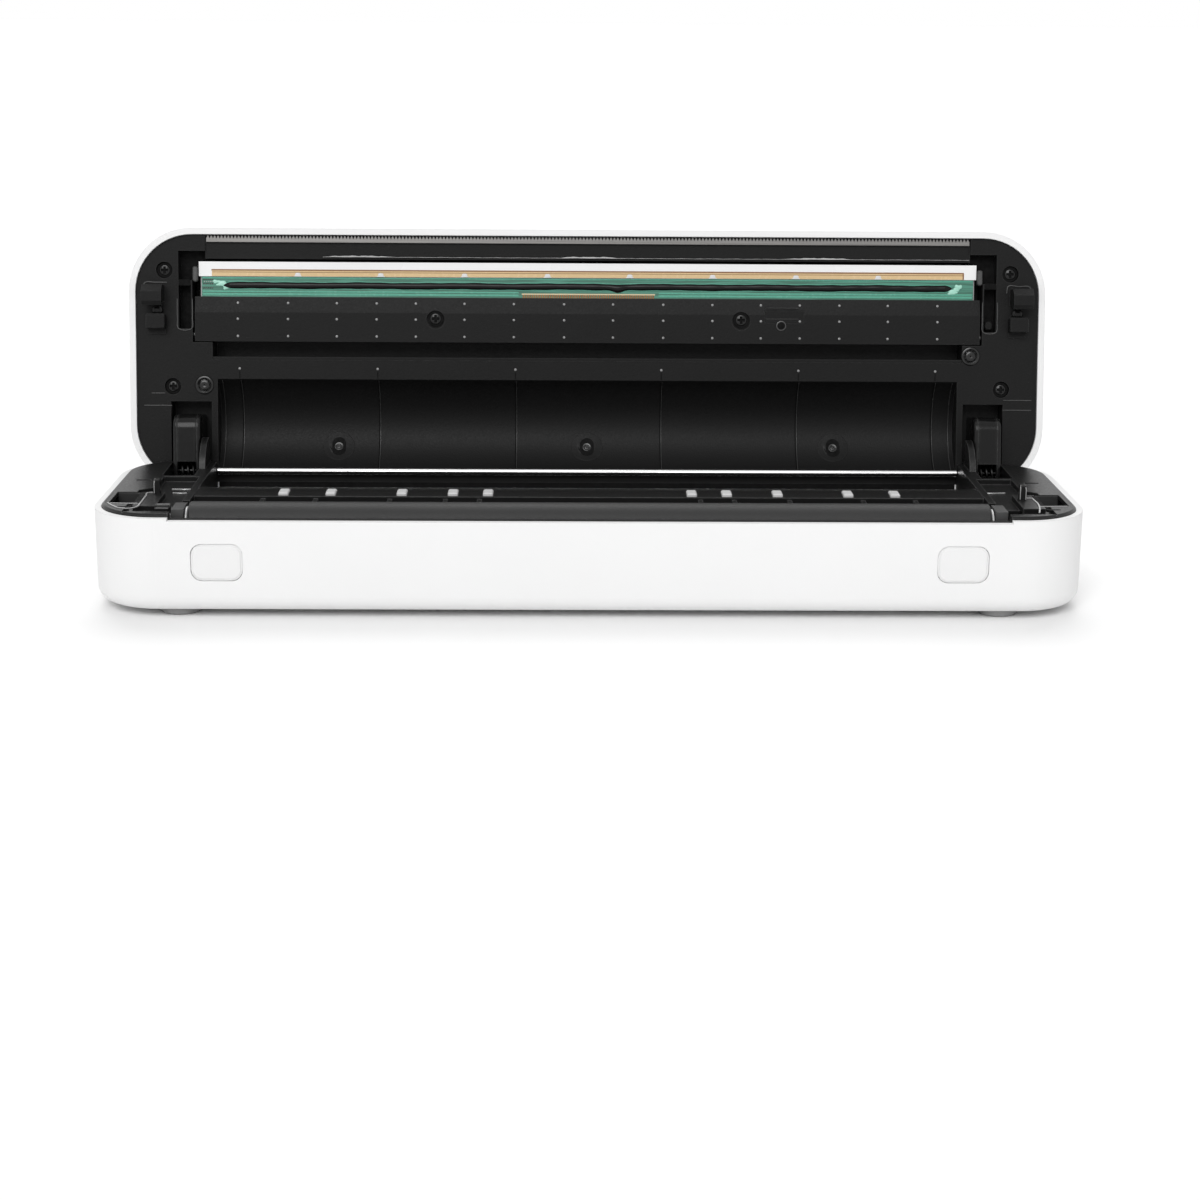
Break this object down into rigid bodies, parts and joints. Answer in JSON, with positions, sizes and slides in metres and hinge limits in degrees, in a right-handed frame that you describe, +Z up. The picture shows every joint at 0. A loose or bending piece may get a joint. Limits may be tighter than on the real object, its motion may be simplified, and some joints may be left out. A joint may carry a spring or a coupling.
{
  "type": "portable thermal printer",
  "caption": "Slim A4 thermal printer with its hinged cover open on the roll space, platen roller, print head and latches.",
  "frame": {"origin": "middle of the underside of the part's bounding box with the cover open, on the table", "axes": "+X to the right as seen from the front, +Y to the back, +Z up; the shafts run along X"},
  "size_m": [0.269, 0.0992, 0.0952],
  "materials": {
    "white_housing": "fine matt texture",
    "black_frame": "satin moulding",
    "black_gloss": "smooth moulding",
    "button_white": "fine matt texture",
    "pad_white": "smooth",
    "platen_rubber": "ground",
    "foot_rubber": "moulded",
    "shaft_steel": "ground",
    "tear_steel": "stamped",
    "spring_steel": "drawn wire",
    "screw_steel": "black oxide",
    "motor_can": "plated",
    "plate_steel": "galvanised",
    "gear_black": "moulded",
    "cell_wrap": "shrink sleeve",
    "board_green": "solder mask",
    "chip_black": "moulded",
    "socket_steel": "plated",
    "ceramic": "glazed",
    "epoxy": "cured drop",
    "sink_alloy": "anodised",
    "sensor_black": "filter window"
  },
  "bodies": {
    "base": {"base_shell": "white_housing", "base_frame": "black_frame", "rubber_feet": "foot_rubber", "guide_pads": "pad_white", "base_screws": "screw_steel", "hinge_shaft": "shaft_steel", "platen_bushes": "black_frame", "stepper_motor": "motor_can", "gear_plate": "plate_steel", "latch_spring_left": "spring_steel", "latch_spring_right": "spring_steel", "hinge_springs": "spring_steel", "battery_cells": "cell_wrap", "main_board": "board_green", "board_parts": "chip_black", "port_board": "board_green", "charging_socket": "socket_steel"},
    "platen": {"platen_shaft": "shaft_steel", "platen_rubber": "platen_rubber", "platen_gear": "gear_black"},
    "idler": {"idler_gear": "gear_black"},
    "motor_rotor": {"motor_pinion": "gear_black"},
    "left_release": {"release_button_left": "button_white", "latch_slider_left": "black_frame"},
    "right_release": {"release_button_right": "button_white", "latch_slider_right": "black_frame"},
    "power": {"power_key": "button_white"},
    "cover": {"cover_shell": "white_housing", "cover_frame": "black_frame", "cover_screws": "screw_steel", "tear_bar": "tear_steel", "hinge_arms": "black_gloss", "hold_down_cap": "screw_steel", "head_springs": "spring_steel"},
    "print_head": {"heat_sink": "sink_alloy", "ceramic_strip": "ceramic", "head_board": "board_green", "epoxy_bead": "epoxy", "head_cover": "black_frame", "head_screws": "screw_steel", "paper_sensor": "sensor_black"}
  },
  "joints": [
    {"name": "cover_hinge", "type": "hinge", "parent": "base", "child": "cover", "pos_m": [0, 0.02123, 0.0259], "axis": [1, 0, 0], "range_deg": [0, 100], "deforming": ["hinge_springs"]},
    {"name": "head_tilt", "type": "hinge", "parent": "cover", "child": "print_head", "pos_m": [0, 0.03485, 0.06401], "axis": [-1, 0, 0], "range_deg": [0, 1], "stiffness_Nm_per_rad": 2, "springref_deg": -2.86, "deforming": ["head_springs"]},
    {"name": "platen_spin", "type": "hinge", "parent": "base", "child": "platen", "pos_m": [0, -0.03817, 0.0243], "axis": [1, 0, 0], "continuous": true},
    {"name": "idler_spin", "type": "hinge", "parent": "base", "child": "idler", "pos_m": [-0.1151, -0.02945, 0.01605], "axis": [1, 0, 0], "continuous": true},
    {"name": "motor_spin", "type": "hinge", "parent": "base", "child": "motor_rotor", "pos_m": [-0.1151, -0.01957, 0.0125], "axis": [1, 0, 0], "continuous": true},
    {"name": "left_release_press", "type": "slide", "parent": "base", "child": "left_release", "axis": [0, 1, 0], "range_m": [0, 0.0015], "stiffness_N_per_m": 600, "springref_m": -0.001, "deforming": ["latch_spring_left"]},
    {"name": "right_release_press", "type": "slide", "parent": "base", "child": "right_release", "axis": [0, 1, 0], "range_m": [0, 0.0015], "stiffness_N_per_m": 600, "springref_m": -0.001, "deforming": ["latch_spring_right"]},
    {"name": "power_press", "type": "slide", "parent": "base", "child": "power", "axis": [-1, 0, 0], "range_m": [0, 0.0005], "stiffness_N_per_m": 800, "springref_m": -0.001}
  ],
  "couplings": [
    {"joint": "idler_spin", "follows": "platen_spin", "ratio": -0.6},
    {"joint": "motor_spin", "follows": "platen_spin", "ratio": 1.5}
  ]
}
